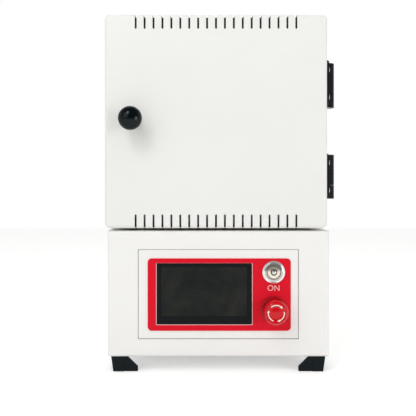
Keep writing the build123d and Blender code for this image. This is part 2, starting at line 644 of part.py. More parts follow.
def power_inlet():
    """Appliance inlet: flange, recessed socket and three pins."""
    y0, y1 = BACK - 16, BACK + 3.5
    flange = plate_y(RectangleRounded(50, 24, 5), INLET_X, INLET_Z, BACK, y1)
    body = plate_y(Rectangle(27.6, 19.6), INLET_X, INLET_Z, y0, BACK)
    recess = plate_y(Polygon((-12, -8), (12, -8), (12, 4), (8, 8), (-8, 8), (-12, 4), align=None),
                     INLET_X, INLET_Z, y0 + 3, y1 + 1)
    inlet = flange + body - recess
    for dx, dz in ((-7, -2), (0, 2), (7, -2)):
        inlet += block(INLET_X + dx - 1, INLET_X + dx + 1, y0 + 2, BACK, INLET_Z + dz - 2, INLET_Z + dz + 2)
    return inlet


def switch_body():
    """Rocker switch housing: a well for the rocker, crossed by the pin it tilts on."""
    flange = plate_y(RectangleRounded(31, 23.5, 2), SWITCH_X, SWITCH_Z, BACK, BACK + 1.8)
    body = plate_y(Rectangle(27.6, 19.6), SWITCH_X, SWITCH_Z, BACK - 16, BACK)
    well = plate_y(Rectangle(24, 16), SWITCH_X, SWITCH_Z, BACK - 8, BACK + 3)
    pin = rod_z(SWITCH_X, ROCKER_Y, ROCKER_PIN, SWITCH_Z - 8, SWITCH_Z + 8)
    return flange + body - well + pin


def switch_rocker():
    """Rocker with a shallow V face, resting in its off position."""
    outline = make_face(closed((-11.2, 4.2), (0, 2.4), (11.2, 4.2), (10.2, -2), (0, -4), (-10.2, -2)))
    plane = Plane(origin=(0, 0, -7.6), x_dir=(1, 0, 0), z_dir=(0, 0, 1))
    rocker = extrude(plane * outline, 15.2) - Cylinder(ROCKER_PIN + RUN_FIT, 20)
    return Pos(SWITCH_X, ROCKER_Y, SWITCH_Z) * Rot(0, 0, ROCKER_TILT) * rocker


# ---------------------------------------------------------------- electronics
def heat_sink():
    """Extruded cooler with upright fins below a flat seat."""
    x0, x1, y0, y1 = 25, 105, 40, 130
    seat = DECK_Z + SINK_HEIGHT - 6
    sink = block(x0, x1, y0, y1, seat, DECK_Z + SINK_HEIGHT)
    for i in range(9):
        x = x0 + 1 + i * 9.5
        sink += block(x, x + 2, y0, y1, DECK_Z, seat)
    return sink


def solid_state_relay():
    z0 = DECK_Z + SINK_HEIGHT
    body = block(42, 88, 56, 114, z0, z0 + 26)
    notches = [block(57, 73, y - 9, y + 9, z0 - 1, z0 + 27) for y in (56, 114)]
    return body - notches


def power_supply():
    """Open-frame supply under a folded cover with air slots."""
    cover = block(-112, -30, -60, 39, DECK_Z, DECK_Z + 32)
    cover = fillet(cover.edges().filter_by(Axis.Y).group_by(Axis.Z)[-1], 2)
    slot = extrude(SlotOverall(60, 2.4), 3, both=True)
    return cover - [Pos(-71, y, DECK_Z + 32) * slot for y in range(-50, 31, 8)]


def terminal_strip():
    """Row of feed-through terminals with barrier walls."""
    strip = block(10, 100, -40, -14, DECK_Z, DECK_Z + 14)
    for i in range(10):
        x = 10 + i * 9.8
        strip += block(x, x + 1.8, -40, -14, DECK_Z + 14, DECK_Z + 22)
    return strip


# ---------------------------------------------------------------- assembly
def lower_case_parts():
    nodes = {"lower_case": lower_case(), "base_plate": base_plate(), "lower_rear_panel": lower_rear_panel()}
    front = front_right_foot()
    rear = Pos(0, CASE_FRONT + BACK, 0) * mirror(front, about=Plane.XZ)
    nodes["foot_front_right"] = front
    nodes["foot_front_left"] = mirrored(front)
    nodes["foot_rear_right"] = rear
    nodes["foot_rear_left"] = mirrored(rear)
    return nodes


def control_parts():
    return {
        "control_plate": control_plate(),
        "fascia": fascia(),
        "display_glass": display_glass(),
        "display_module": display_module(),
        "start_bezel": start_bezel(),
        "start_cap": start_cap(),
        "start_nut": panel_nut(START_X, START_Z),
        "start_contact_block": contact_block(START_X, START_Z),
        "estop_collar": estop_collar(),
        "estop_plunger": estop_plunger(),
        "estop_head": estop_head(),
        "estop_nut": panel_nut(STOP_X, STOP_Z),
        "estop_contact_block": contact_block(STOP_X, STOP_Z),
    }


def electrical_parts():
    return {
        "fan_frame": fan_frame(),
        "fan_rotor": fan_rotor(),
        "power_inlet": power_inlet(),
        "switch_body": switch_body(),
        "switch_rocker": switch_rocker(),
        "heat_sink": heat_sink(),
        "solid_state_relay": solid_state_relay(),
        "power_supply": power_supply(),
        "terminal_strip": terminal_strip(),
    }


def casing_parts():
    return {
        "casing_wrap": casing_wrap(),
        "front_frame": front_frame(),
        "rear_panel": rear_panel(),
        "support_rails": support_rails(),
        "catch_magnet": catch_magnet(),
    }


def chamber_parts():
    out, depth = BOARD_OUT, (FRAME_BACK, BOARD_BACK)
    wall, element = muffle_right(), heating_element_right()
    rear = block(-CHAMBER / 2, CHAMBER / 2, CHAMBER_BACK, BOARD_BACK, WALL_BOTTOM, WALL_TOP)
    return {
        "inner_shell": inner_shell(),
        "muffle_floor": block(-out, out, *depth, BOARD_BOTTOM, WALL_BOTTOM),
        "muffle_roof": block(-out, out, *depth, WALL_TOP, BOARD_TOP),
        "muffle_right": wall,
        "muffle_left": mirrored(wall),
        "muffle_rear": rear - rod_y(0, PROBE_Z, PROBE_RADIUS, CHAMBER_BACK - 1, BOARD_BACK + 1),
        "heating_element_right": element,
        "heating_element_left": mirrored(element),
        "element_terminals": element_terminals(),
        "thermocouple": thermocouple(),
        "hearth_plate": hearth_plate(),
    }


def door_parts():
    return {
        "door_shell": door_shell(),
        "door_inner_plate": door_inner_plate(),
        "door_insulation": door_insulation(),
        "door_plug": door_plug(),
        "door_gasket": door_gasket(),
        "catch_strike": catch_strike(),
        "door_knob": door_knob(),
        "knob_stud": knob_stud(),
    }


def hinge_parts():
    nodes = {}
    for z, name in zip(HINGE_MIDS, ("lower", "upper")):
        lift = Pos(0, 0, z - HINGE_HEIGHT / 2)
        nodes[f"hinge_leaf_casing_{name}"] = lift * hinge_leaf_casing()
        nodes[f"hinge_leaf_door_{name}"] = lift * hinge_leaf_door()
        nodes[f"hinge_pin_{name}"] = lift * hinge_pin()
    return nodes


def main():
    lower = {**lower_case_parts(), **control_parts(), **electrical_parts()}
    upper = {**casing_parts(), **chamber_parts(), **door_parts(), **hinge_parts()}
    os.makedirs("parts", exist_ok=True)
    for nodes, x in ((lower, LOWER_X), (upper, UPPER_X)):
        for name, shape in nodes.items():
            export_step(Pos(x, SHIFT_Y, 0) * shape, f"parts/{name}.step")
    print(len(lower) + len(upper), "nodes written")


main()
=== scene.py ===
import json
import math

import bmesh
import bpy
from mathutils import Matrix, Vector


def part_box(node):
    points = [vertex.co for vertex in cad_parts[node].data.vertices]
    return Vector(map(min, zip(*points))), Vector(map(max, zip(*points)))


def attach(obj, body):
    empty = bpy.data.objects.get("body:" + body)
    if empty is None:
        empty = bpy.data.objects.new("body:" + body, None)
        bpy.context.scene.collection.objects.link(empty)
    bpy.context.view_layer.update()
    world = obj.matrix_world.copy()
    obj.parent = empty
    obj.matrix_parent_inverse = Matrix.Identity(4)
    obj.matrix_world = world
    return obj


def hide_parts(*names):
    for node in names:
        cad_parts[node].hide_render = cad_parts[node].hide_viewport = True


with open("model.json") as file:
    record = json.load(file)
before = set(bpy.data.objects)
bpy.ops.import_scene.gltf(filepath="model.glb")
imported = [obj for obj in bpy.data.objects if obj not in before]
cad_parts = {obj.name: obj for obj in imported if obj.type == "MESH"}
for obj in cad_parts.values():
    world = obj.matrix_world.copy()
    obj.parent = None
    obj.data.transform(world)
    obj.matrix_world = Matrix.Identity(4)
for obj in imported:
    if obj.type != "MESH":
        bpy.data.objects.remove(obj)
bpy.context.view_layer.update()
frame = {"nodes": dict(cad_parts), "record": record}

MM = 0.001

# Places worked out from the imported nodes, in metres.
GLASS_LOW, GLASS_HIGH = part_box("display_glass")
BEZEL_LOW, BEZEL_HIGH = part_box("start_bezel")
DOOR_LOW, DOOR_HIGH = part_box("door_shell")
CASE_LOW, CASE_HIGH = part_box("lower_case")
WRAP_LOW, WRAP_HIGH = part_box("casing_wrap")
MOUTH_LOW, MOUTH_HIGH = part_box("door_gasket")
FACE_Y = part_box("fascia")[0].y  # front of the red overlay
REAR_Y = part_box("lower_rear_panel")[1].y  # outside of the rear cover
TO_START_AXIS = (-(BEZEL_LOW.x + BEZEL_HIGH.x) / 2, 0, -(BEZEL_LOW.z + BEZEL_HIGH.z) / 2)
BEZEL_RADIUS = (BEZEL_HIGH.x - BEZEL_LOW.x) / 2
CHAMBER_X = (MOUTH_LOW.x + MOUTH_HIGH.x) / 2
CHAMBER_Z = (MOUTH_LOW.z + MOUTH_HIGH.z) / 2


def middle(name):
    low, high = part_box(name)
    return (low + high) / 2


# ================================================================ materials
def add_node(tree, kind, inputs=None, **settings):
    """Shader node with its settings, its inputs linked to sockets or set to values."""
    node = tree.nodes.new("ShaderNode" + kind)
    for key, value in settings.items():
        setattr(node, key, value)
    for key, value in (inputs or {}).items():
        if isinstance(value, bpy.types.NodeSocket):
            tree.links.new(value, node.inputs[key])
        else:
            node.inputs[key].default_value = value
    return node


class Look:
    """A Principled material with short helpers for its procedural nodes."""

    def __init__(self, name, **constants):
        self.material = bpy.data.materials.new(name)
        self.material.use_nodes = True
        self.tree = self.material.node_tree
        self.bsdf = self.tree.nodes["Principled BSDF"]
        self.coords = self.tree.nodes.new("ShaderNodeTexCoord").outputs["Object"]
        for socket, value in constants.items():
            self.bsdf.inputs[socket.replace("_", " ")].default_value = value

    def new(self, kind, inputs=None, **settings):
        return add_node(self.tree, kind, inputs, **settings)

    def placed(self, location=(0, 0, 0), scale=(1, 1, 1)):
        """Object coordinates, scaled and then moved."""
        inputs = {"Vector": self.coords, "Location": location, "Scale": scale}
        return self.new("Mapping", inputs).outputs["Vector"]

    def math(self, operation, first, second):
        return self.new("Math", {0: first, 1: second}, operation=operation).outputs["Value"]

    def vector_math(self, operation, *inputs):
        node = self.new("VectorMath", dict(enumerate(inputs)), operation=operation)
        return node.outputs["Value" if operation == "LENGTH" else "Vector"]

    def noise(self, scale, detail=3.0, stretch=(1, 1, 1), roughness=0.5, distortion=0.0):
        """Noise in object space; stretch under 1 draws it out along that axis."""
        inputs = {"Vector": self.placed(scale=stretch), "Scale": scale, "Detail": detail,
                  "Roughness": roughness, "Distortion": distortion}
        return self.new("TexNoise", inputs).outputs["Fac"]

    def cells(self, scale):
        inputs = {"Vector": self.coords, "Scale": scale}
        return self.new("TexVoronoi", inputs).outputs["Distance"]

    def waves(self, scale, direction, distortion, wave_type="BANDS", vector=None):
        axis = "bands_direction" if wave_type == "BANDS" else "rings_direction"
        inputs = {"Vector": vector or self.coords, "Scale": scale, "Distortion": distortion}
        settings = {"wave_type": wave_type, axis: direction}
        return self.new("TexWave", inputs, **settings).outputs["Fac"]

    def levels(self, fac, low, high, start=0.3, end=0.7):
        """Spreads a texture value over the range low to high."""
        inputs = {"Value": fac, "From Min": start, "From Max": end, "To Min": low, "To Max": high}
        return self.new("MapRange", inputs).outputs["Result"]

    def tint(self, fac, first, second, start=0.3, end=0.7):
        """Blends two colours by a texture value."""
        ramp = self.new("ValToRGB", {"Fac": fac})
        for element, place, colour in zip(ramp.color_ramp.elements, (start, end), (first, second)):
            element.position = place
            element.color = (*colour, 1.0)
        return ramp.outputs["Color"]

    def bands(self, fac, stops):
        """Colours along a texture value, from (place, colour) pairs."""
        ramp = self.new("ValToRGB", {"Fac": fac})
        elements = ramp.color_ramp.elements
        while len(elements) < len(stops):
            elements.new(0.5)
        for element, (place, colour) in zip(elements, stops):
            element.position = place
            element.color = (*colour, 1.0)
        return ramp.outputs["Color"]

    def blend(self, fac, first, second):
        mix = self.new("Mix", {"Factor": fac, "A": first, "B": second}, data_type="RGBA")
        return mix.outputs["Result"]

    def inside(self, low, high):
        """1 inside an upright box, 0 outside it."""
        to_centre = tuple(-(a + b) / 2 for a, b in zip(low, high))
        half = tuple((b - a) / 2 for a, b in zip(low, high))
        spread = self.vector_math("ABSOLUTE", self.vector_math("ADD", self.coords, to_centre))
        outside = self.vector_math("SUBTRACT", spread, half)
        axes = self.new("SeparateXYZ", {"Vector": outside}).outputs
        most = self.math("MAXIMUM", self.math("MAXIMUM", axes["X"], axes["Y"]), axes["Z"])
        return self.math("LESS_THAN", most, 0.0)

    def colour(self, socket):
        self.tree.links.new(socket, self.bsdf.inputs["Base Color"])
        return self

    def rough(self, socket):
        self.tree.links.new(socket, self.bsdf.inputs["Roughness"])
        return self

    def bump(self, height, depth, strength=1.0):
        """Adds relief, depth in metres; later calls lie on top of earlier ones."""
        inputs = {"Height": height, "Distance": depth, "Strength": strength}
        earlier = self.bsdf.inputs["Normal"].links
        if earlier:
            inputs["Normal"] = earlier[0].from_socket
        bump = self.new("Bump", inputs)
        self.tree.links.new(bump.outputs["Normal"], self.bsdf.inputs["Normal"])
        return self


def shade(colour, factor):
    return tuple(min(1.0, channel * factor) for channel in colour)


def powder_coat(name, colour, grain=850.0, shaded_boxes=(), painted=None, gloss=0.36, coat=0.08):
    """Baked powder coat: faint orange peel, uneven gloss and haze.

    Dark painted shade covers the inside of the shaded_boxes and the outside of the painted box.
    """
    look = Look(name, Specular_IOR_Level=gloss, Coat_Weight=coat, Coat_Roughness=0.25)
    haze = look.noise(9.0, 4.0, roughness=0.6)
    paint = look.tint(haze, shade(colour, 0.982), colour, 0.35, 0.65)
    for box in shaded_boxes:
        paint = look.blend(look.inside(*box), paint, PAINTED_SHADE)
    if painted:
        paint = look.blend(look.inside(*painted), PAINTED_SHADE, paint)
    look.colour(paint)
    look.rough(look.levels(look.noise(26.0, 4.0), 0.36, 0.5))
    look.bump(look.noise(grain, 2.0), 0.06 * MM, 0.35)
    return look.bump(look.noise(140.0, 2.0), 0.08 * MM, 0.22).material


def brushed(name, colour, along, rough=(0.24, 0.42)):
    """Sheet metal with a grain along one axis."""
    look = Look(name, Metallic=1.0)
    grain = look.noise(1400.0, 3.0, stretch=along)
    smudge = look.noise(18.0, 4.0, roughness=0.6)
    look.colour(look.tint(grain, shade(colour, 0.86), colour, 0.3, 0.7))
    look.rough(look.levels(look.blend(0.35, grain, smudge), *rough))
    return look.bump(grain, 0.03 * MM, 0.5).material


def heat_stained(name, colour, along):
    """Stainless sheet tinted straw by the heat round the chamber's mouth."""
    stain_start, stain_end, patch = 100 * MM, 150 * MM, 12 * MM  # from the chamber's middle
    look = Look(name, Metallic=1.0)
    grain = look.noise(1400.0, 3.0, stretch=along)
    reach = look.vector_math("LENGTH", look.placed((-CHAMBER_X, 0.0, -CHAMBER_Z)))
    patchy = look.math("ADD", reach, look.levels(look.noise(30.0, 3.0), -patch, patch))
    stain = look.tint(patchy, (0.62, 0.48, 0.33), colour, stain_start, stain_end)
    look.colour(look.blend(0.25, stain, look.tint(grain, shade(colour, 0.8), colour)))
    look.rough(look.levels(grain, 0.26, 0.44))
    return look.bump(grain, 0.03 * MM, 0.5).material


def zinc_plate(name):
    look = Look(name, Metallic=0.9)
    spangle = look.cells(70.0)
    look.colour(look.tint(spangle, (0.5, 0.52, 0.53), (0.68, 0.69, 0.69), 0.1, 0.7))
    look.rough(look.levels(look.noise(60.0, 4.0), 0.34, 0.55))
    return look.bump(look.noise(500.0, 2.0), 0.04 * MM, 0.3).material


def fibre_board(name, colour):
    """Vacuum-formed fibre: chalky, speckled, with short fibres and soft pits."""
    look = Look(name, Specular_IOR_Level=0.15)
    blotch = look.noise(22.0, 5.0, roughness=0.65)
    fibre = look.noise(700.0, 4.0, stretch=(1, 0.18, 1), distortion=0.6)
    base = look.tint(blotch, shade(colour, 0.9), colour, 0.3, 0.68)
    strands = look.levels(fibre, 0.0, 0.22, 0.45, 0.75)
    look.colour(look.blend(strands, base, (0.62, 0.56, 0.46, 1.0)))
    look.rough(look.levels(fibre, 0.86, 0.98))
    look.bump(fibre, 0.35 * MM, 0.6)
    return look.bump(look.cells(160.0), 0.4 * MM, 0.25).material


def silicon_carbide(name):
    look = Look(name, Specular_IOR_Level=0.35)
    grit = look.cells(1500.0)
    look.colour(look.tint(grit, (0.12, 0.12, 0.13), (0.34, 0.34, 0.36), 0.1, 0.6))
    look.rough(look.levels(look.noise(40.0, 4.0), 0.6, 0.85))
    return look.bump(grit, 0.18 * MM, 0.6).material


def rope(name):
    """Woven ceramic rope: two crossing twills over a fuzzy surface."""
    look = Look(name, Specular_IOR_Level=0.1, Sheen_Weight=0.3)
    first = look.waves(260.0, "DIAGONAL", 1.0)
    second = look.waves(260.0, "DIAGONAL", 1.0, vector=look.placed(scale=(-1, 1, 1)))
    weave = look.math("MULTIPLY", first, second)
    look.colour(look.tint(weave, (0.55, 0.52, 0.46), (0.85, 0.83, 0.78), 0.05, 0.6))
    look.rough(look.levels(weave, 0.8, 0.97))
    look.bump(weave, 0.6 * MM, 0.8)
    return look.bump(look.noise(1500.0, 3.0), 0.2 * MM, 0.4).material


def oxidised_wire(name):
    look = Look(name, Metallic=0.7)
    scale = look.noise(900.0, 4.0)
    look.colour(look.tint(scale, (0.09, 0.075, 0.07), (0.3, 0.26, 0.23)))
    look.rough(look.levels(scale, 0.5, 0.75))
    return look.bump(scale, 0.08 * MM, 0.5).material


def glazed(name, colour, rough=0.22):
    look = Look(name, Specular_IOR_Level=0.5)
    look.colour(look.tint(look.noise(120.0, 4.0), shade(colour, 0.92), colour))
    look.rough(look.levels(look.noise(45.0, 3.0), rough * 0.8, rough * 1.4))
    return look.bump(look.noise(220.0, 2.0), 0.08 * MM, 0.25).material


def polished(name, colour, rough, gloss, swirl=0.04 * MM):
    """Polished or glossy moulded surface with faint hairlines and finger haze."""
    look = Look(name, Specular_IOR_Level=gloss)
    haze = look.noise(60.0, 4.0, roughness=0.6)
    look.colour(look.tint(haze, shade(colour, 0.9), colour))
    look.rough(look.levels(haze, *rough))
    return look.bump(look.noise(320.0, 2.0), swirl, 0.3).material


def moulded(name, colour, grain=1100.0, rough=(0.42, 0.6), gloss=0.4):
    """Matt moulded plastic with a fine spark-eroded grain."""
    look = Look(name, Specular_IOR_Level=gloss)
    texture = look.noise(grain, 3.0)
    look.colour(look.tint(look.noise(35.0, 4.0), shade(colour, 0.85), colour))
    look.rough(look.levels(texture, *rough))
    return look.bump(texture, 0.08 * MM, 0.5).material


def overlay_film(name, colour):
    """Back-printed film: very even colour under a fine velvet texture."""
    look = Look(name, Specular_IOR_Level=0.14)
    look.colour(look.tint(look.noise(14.0, 3.0), shade(colour, 0.96), colour))
    look.rough(look.levels(look.noise(500.0, 3.0), 0.3, 0.42))
    return look.bump(look.noise(1800.0, 2.0), 0.02 * MM, 0.4).material


def dark_glass(name, colour, rough=(0.06, 0.14), haze=None):
    """Dark glass with smears; a haze colour clouds it in soft patches."""
    look = Look(name, Specular_IOR_Level=0.1)
    smear = look.noise(22.0, 5.0, roughness=0.65, distortion=0.5)
    clear = shade(colour, 0.5 if haze else 0.8)
    look.colour(look.tint(smear, clear, haze or colour, 0.35, 0.65))
    look.rough(look.levels(smear, *rough))
    return look.bump(look.noise(40.0, 2.0), 0.02 * MM, 0.15).material


def turned_metal(name, colour, rough):
    """Metal faced on a lathe: fine rings about the start button's axis."""
    look = Look(name, Metallic=1.0)
    rings = look.waves(900.0, "Y", 0.3, "RINGS", look.placed(TO_START_AXIS))
    look.colour(look.tint(look.noise(90.0, 3.0), shade(colour, 0.88), colour))
    look.rough(look.levels(rings, *rough, 0.0, 1.0))
    return look.bump(rings, 0.015 * MM, 0.5).material


def button_painted_reflections(name):
    """Polished push button: a faintly coned face, banded with painted reflections and painted shade
    from its bright dot to its bright rim.
    """
    cone_slope = -0.11
    look = Look(name, Metallic=0.7)
    centred = look.placed(TO_START_AXIS, (1, 0, 1))
    radius = look.vector_math("LENGTH", centred)
    # Colour in rings about the axis: painted reflections and painted shade.
    colour = look.bands(look.levels(radius, 0.0, 1.0, 0.0, BEZEL_RADIUS), BUTTON_REFLECTION_BANDS)
    tarnish = look.levels(look.noise(300.0, 4.0), 0.0, 0.25)
    look.colour(look.blend(tarnish, colour, (0.3, 0.29, 0.27, 1.0)))
    look.rough(look.levels(look.noise(90.0, 3.0), 0.07, 0.15))
    look.bump(look.math("MULTIPLY", radius, cone_slope), 1.0)
    return look.bump(look.waves(900.0, "Y", 0.3, "RINGS", centred), 0.008 * MM, 0.5).material


# Dark painted shade, for the seam round the control plate and the inside of the door's pan.
PAINTED_SHADE = (0.028, 0.028, 0.029, 1.0)
ENAMEL = (0.872, 0.872, 0.846)
LOWER_ENAMEL_PAINTED_LIGHTER = (0.925, 0.920, 0.895)  # a shade paler than the door's enamel: painted light for the lower case and the control plate, which the lamps light less
STEEL = (0.64, 0.64, 0.63)
# Painted reflections and shade on the polished start button: painted highlights on the dot and the
# bevel, painted shade in the groove and the gap, and a painted warm reflection on the cap's ring.
BUTTON_REFLECTION_BANDS = (  # share of the bezel's radius, colour
    (0.00, (0.92, 0.90, 0.84)), (0.15, (0.92, 0.90, 0.84)),  # dot
    (0.19, (0.05, 0.05, 0.04)), (0.27, (0.06, 0.05, 0.04)),  # groove
    (0.31, (0.88, 0.82, 0.68)), (0.50, (0.82, 0.75, 0.60)),  # ring of the cap
    (0.57, (0.40, 0.36, 0.32)), (0.66, (0.62, 0.56, 0.52)),  # gap and inner face of the bezel
    (0.78, (0.50, 0.46, 0.44)), (0.83, (0.97, 0.97, 0.95)),  # bright bevel
)


def plate_field():
    """Box round the raised, painted field of the control plate; outside it, the flange gets dark
    painted shade, for the shade in the seam round the plate.
    """
    low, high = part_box("control_plate")
    inset = Vector((9.8, -1.0, 8.8)) * MM
    return low + inset, high - inset


def pan_inside():
    """Boxes that hold the inner faces of the door's pan, clear of its bends and its rear edge; dark
    painted shade goes inside them.

    One holds the inside of its face, the other the insides of its top and bottom.
    """
    rear = 1.3 * MM
    boxes = []
    for inset in (Vector((4.5, 1.1, 4.5)) * MM, Vector((6.0, 4.5, 1.1)) * MM):
        boxes.append((DOOR_LOW + inset, DOOR_HIGH - Vector((inset.x, rear, inset.z))))
    return boxes


def slot_materials():
    return {
        "enamel_white": powder_coat("powder_coat_body", ENAMEL),
        # The plate's flange outside its field gets dark painted shade.
        "control_plate_paint": powder_coat("powder_coat_plate", LOWER_ENAMEL_PAINTED_LIGHTER, 1000.0,
                                           painted=plate_field()),
        "zinc_sheet": zinc_plate("zinc_plated_sheet"),
        "stainless": heat_stained("heat_stained_stainless", STEEL, (0.03, 1, 1)),
        "black_foot": moulded("moulded_foot", (0.006, 0.011, 0.013), gloss=0.12),
        "hinge_black": powder_coat("black_coated_casting", (0.005, 0.006, 0.009), 700.0,
                                   gloss=0.12, coat=0.0),
        "bright_steel": turned_metal("turned_bright_steel", (0.78, 0.77, 0.75), (0.07, 0.14)),
        "fibre_board": fibre_board("alumina_fibre_board", (0.84, 0.82, 0.77)),
        "hearth": silicon_carbide("silicon_carbide_plate"),
        "gasket_rope": rope("ceramic_rope"),
        "heater_alloy": oxidised_wire("oxidised_heating_wire"),
        "ceramic_white": glazed("glazed_terminal", (0.84, 0.82, 0.78)),
        "probe_sheath": glazed("alumina_sheath", (0.76, 0.73, 0.66), 0.4),
        "knob_black": polished("polished_phenolic", (0.002, 0.005, 0.006), (0.12, 0.2), 0.2),
        "magnet_black": moulded("magnet_rubber", (0.035, 0.035, 0.037), 500.0, (0.6, 0.8)),
        "fascia_red": overlay_film("red_overlay_film", (0.76, 0.005, 0.022)),
        "glass_black": dark_glass("black_touch_glass", (0.005, 0.006, 0.0075)),
        "black_plastic": moulded("black_housing", (0.03, 0.03, 0.033)),
        "estop_red": polished("red_stop_head", (0.65, 0.002, 0.008), (0.12, 0.17), 0.36,
                              0.01 * MM),
        "estop_collar_red": polished("red_stop_collar", (0.42, 0.003, 0.010), (0.2, 0.3), 0.3),
        "aluminium_fins": brushed("extruded_aluminium", (0.72, 0.73, 0.74), (1, 0.03, 1)),
        "relay_cream": moulded("cream_housing", (0.66, 0.63, 0.54)),
    }


LOOKS = slot_materials()
EXTRA = {
    "printed_cream": overlay_film("printed_cream", (0.93, 0.88, 0.82)),
    "printed_pink": overlay_film("printed_pink", (0.88, 0.62, 0.58)),
    "button": button_painted_reflections("button_painted_reflections"),
    "case": powder_coat("powder_coat_case", LOWER_ENAMEL_PAINTED_LIGHTER),
    # Inside the pan, dark painted shade, so that the slots look into the dark.
    "pan": powder_coat("powder_coat_door", ENAMEL, shaded_boxes=pan_inside()),
    # Dark fibre as painted shade, on the door's insulation and on the strip behind the top slots.
    "painted_shade_fibre": fibre_board("painted_shade_fibre_facing", (0.05, 0.048, 0.045)),
    # Painted highlight for the lit cut edge round the glass.
    "rim_highlight": overlay_film("painted_rim_highlight", (0.82, 0.62, 0.6)),
    "screen": dark_glass("screen_area", (0.009, 0.0165, 0.0165), (0.1, 0.2),
                         (0.021, 0.0215, 0.0185)),
    "zinc_screw": brushed("zinc_screw", (0.62, 0.63, 0.62), (1, 1, 1), (0.22, 0.4)),
    "brass": brushed("brass_pin", (0.72, 0.55, 0.28), (1, 0.1, 1), (0.2, 0.35)),
    "white_mark": overlay_film("white_mark", (0.8, 0.8, 0.8)),
}


# ================================================================ dressing the CAD nodes
def smooth(mesh):
    mesh.polygons.foreach_set("use_smooth", [True] * len(mesh.polygons))


def soften_edges(piece, width):
    """Joins the node's faces for display and rounds its sharp edges a little.

    The weighted normals keep the rounded edges from tilting the flat faces' shading.
    """
    weld = piece.modifiers.new("weld", "WELD")
    weld.merge_threshold = 0.01 * MM
    bevel = piece.modifiers.new("bevel", "BEVEL")
    bevel.width = width
    bevel.segments = 2
    bevel.limit_method = "ANGLE"
    bevel.angle_limit = SHARP_ANGLE
    bevel.use_clamp_overlap = True
    bevel.face_strength_mode = "FSTR_ALL"
    normals = piece.modifiers.new("normals", "WEIGHTED_NORMAL")
    normals.mode = "FACE_AREA"
    normals.weight = 100
    normals.use_face_influence = True


SHARP_ANGLE = math.radians(35)
EDGE_WIDTH = 0.25 * MM
OWN_EDGE_WIDTHS = {
    "muffle_floor": 0.8 * MM, "muffle_roof": 0.8 * MM, "muffle_rear": 0.8 * MM,
    "muffle_left": 0.6 * MM, "muffle_right": 0.6 * MM,
    "door_plug": 1.5 * MM, "door_insulation": 1.0 * MM, "hearth_plate": 0.5 * MM,
}
# The cut edges of these stay sharp: rounded ones leave streaks between their slots.
SLOTTED_SHEETS = {"lower_case", "lower_rear_panel", "rear_panel", "door_shell"}
# Nodes whose look isn't that of their material slot alone.
OWN_LOOKS = {
    # The door's insulation gets the dark fibre as painted shade, seen through the slots.
    "door_shell": "pan", "door_insulation": "painted_shade_fibre",
    "start_cap": "button", "start_bezel": "button",
    "lower_case": "case", "base_plate": "case", "lower_rear_panel": "case",
}


def dress_nodes():
    slot_of = {part["node"]: part["material_slot"] for part in frame["record"]["subparts"]}
    for name, node in frame["nodes"].items():
        own = OWN_LOOKS.get(name)
        node.data.materials.clear()
        node.data.materials.append(EXTRA[own] if own else LOOKS[slot_of[name]])
        smooth(node.data)
        if name not in SLOTTED_SHEETS:
            soften_edges(node, OWN_EDGE_WIDTHS.get(name, EDGE_WIDTH))


dress_nodes()


# ================================================================ building new pieces
def add_piece(name, mesh, material, body):
    piece = bpy.data.objects.new(name, mesh)
    bpy.context.scene.collection.objects.link(piece)
    mesh.materials.clear()
    mesh.materials.append(material)
    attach(piece, body)
    return piece


def flat_outline(outlines, thickness, bevel=0.0):
    """Closed outlines in the XY plane, filled even-odd and given thickness along Z, as a mesh."""
    curve = bpy.data.curves.new("outline", "CURVE")
    curve.dimensions = "2D"
    curve.fill_mode = "BOTH"
    curve.extrude = thickness / 2 - bevel
    curve.bevel_depth = bevel
    curve.bevel_resolution = 1
    for outline in outlines:
        spline = curve.splines.new("POLY")
        spline.points.add(len(outline) - 1)
        for point, (x, y) in zip(spline.points, outline):
            point.co = (x, y, 0.0, 1.0)
        spline.use_cyclic_u = True
    return mesh_of(curve)


def mesh_of(curve):
    """The mesh of a curve or text, which is then removed."""
    holder = bpy.data.objects.new("holder", curve)
    mesh = bpy.data.meshes.new_from_object(holder)
    bpy.data.objects.remove(holder)
    bpy.data.curves.remove(curve)
    return mesh


def on_circle(radius, angle, centre=(0.0, 0.0)):
    return centre[0] + radius * math.cos(angle), centre[1] + radius * math.sin(angle)


def circle(radius, count=32):
    return [on_circle(radius, 2 * math.pi / count * i) for i in range(count)]


def rounded_rectangle(low, high, radius):
    """Counter-clockwise outline with arcs at its corners."""
    steps = 6
    left, right = low[0] + radius, high[0] - radius
    bottom, top = low[1] + radius, high[1] - radius
    points = []
    for centre, start in (((right, top), 0), ((left, top), 90),
                          ((left, bottom), 180), ((right, bottom), 270)):
        for i in range(steps + 1):
            points.append(on_circle(radius, math.radians(start + 90 * i / steps), centre))
    return points


def facing(direction, place, spin=0.0):
    """Turns the XY plane so that its +Z looks along direction, and moves it to place."""
    turn = Vector(direction).to_track_quat("Z", "Y").to_matrix().to_4x4()
    return Matrix.Translation(place) @ turn @ Matrix.Rotation(spin, 4, "Z")


# Turn the XY plane into the XZ plane: read from the front, and read from behind.
FRONT = Matrix(((1, 0, 0, 0), (0, 0, -1, 0), (0, 1, 0, 0), (0, 0, 0, 1)))
BACKWARD = Matrix(((-1, 0, 0, 0), (0, 0, 1, 0), (0, 1, 0, 0), (0, 0, 0, 1)))


def moved(mesh, place):
    """Turns a flat mesh upright, to be read from the front, and moves it to its place."""
    mesh.transform(Matrix.Translation(place) @ FRONT)
    return mesh


def joined(parts):
    """One mesh from (mesh, matrix) pairs."""
    work = bmesh.new()
    for mesh, matrix in parts:
        copy = mesh.copy()
        copy.transform(matrix)
        work.from_mesh(copy)
        bpy.data.meshes.remove(copy)
    mesh = bpy.data.meshes.new("joined")
    work.to_mesh(mesh)
    work.free()
    return mesh


